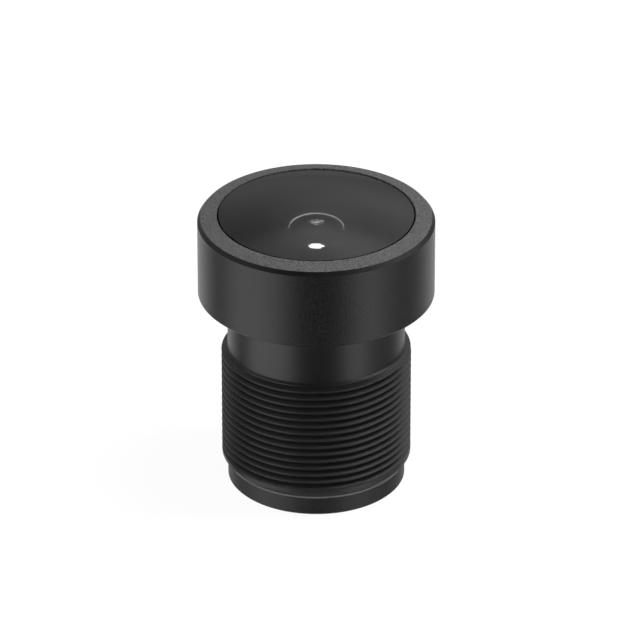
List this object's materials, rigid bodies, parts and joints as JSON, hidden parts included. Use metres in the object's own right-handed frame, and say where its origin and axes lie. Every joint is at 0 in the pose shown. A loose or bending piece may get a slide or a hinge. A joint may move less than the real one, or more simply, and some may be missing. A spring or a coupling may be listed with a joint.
{
  "type": "board camera lens",
  "caption": "Turned black anodised lens barrel with a wide flanged head, a domed wide-angle front glass, a fine mounting thread and a stack of glass elements inside.",
  "frame": {"origin": "centre of the rear end face, on the optical axis, where the lens rests when it stands upright", "axes": "+Z along the optical axis, from the rear end to the domed front glass; the piece is turned, so +X and +Y differ only in that the rear retaining ring's spanner slot runs along X"},
  "size_m": [0.015, 0.0148, 0.0194],
  "materials": {
    "black_anodised": "black anodised, fine grit-blasted head over a smooth turned neck, thread and collar",
    "blasted_anodised": "black anodised, grit-blasted face with a polished outer chamfer",
    "inner_anodised": "matt black anodised",
    "coated_glass": "polished optical glass with an antireflection coating and blackened ground edges",
    "filter_glass": "flat polished glass with an infrared cut coating",
    "black_film": "matt black film",
    "seal_rubber": "black rubber"
  },
  "bodies": {
    "root": {"barrel": "black_anodised", "front_retaining_ring": "blasted_anodised", "front_element": "coated_glass", "front_seal_ring": "seal_rubber", "front_light_shield": "black_film", "second_element": "coated_glass", "baffle_spacer": "inner_anodised", "third_element": "coated_glass", "middle_light_shield": "black_film", "stop_spacer": "inner_anodised", "aperture_stop": "inner_anodised", "doublet_light_shield": "black_film", "doublet_front_element": "coated_glass", "doublet_rear_element": "coated_glass", "rear_light_shield": "black_film", "rear_spacer": "inner_anodised", "rear_element": "coated_glass", "rear_retaining_ring": "inner_anodised", "ir_cut_filter": "filter_glass", "filter_retaining_ring": "inner_anodised"}
  },
  "joints": []
}
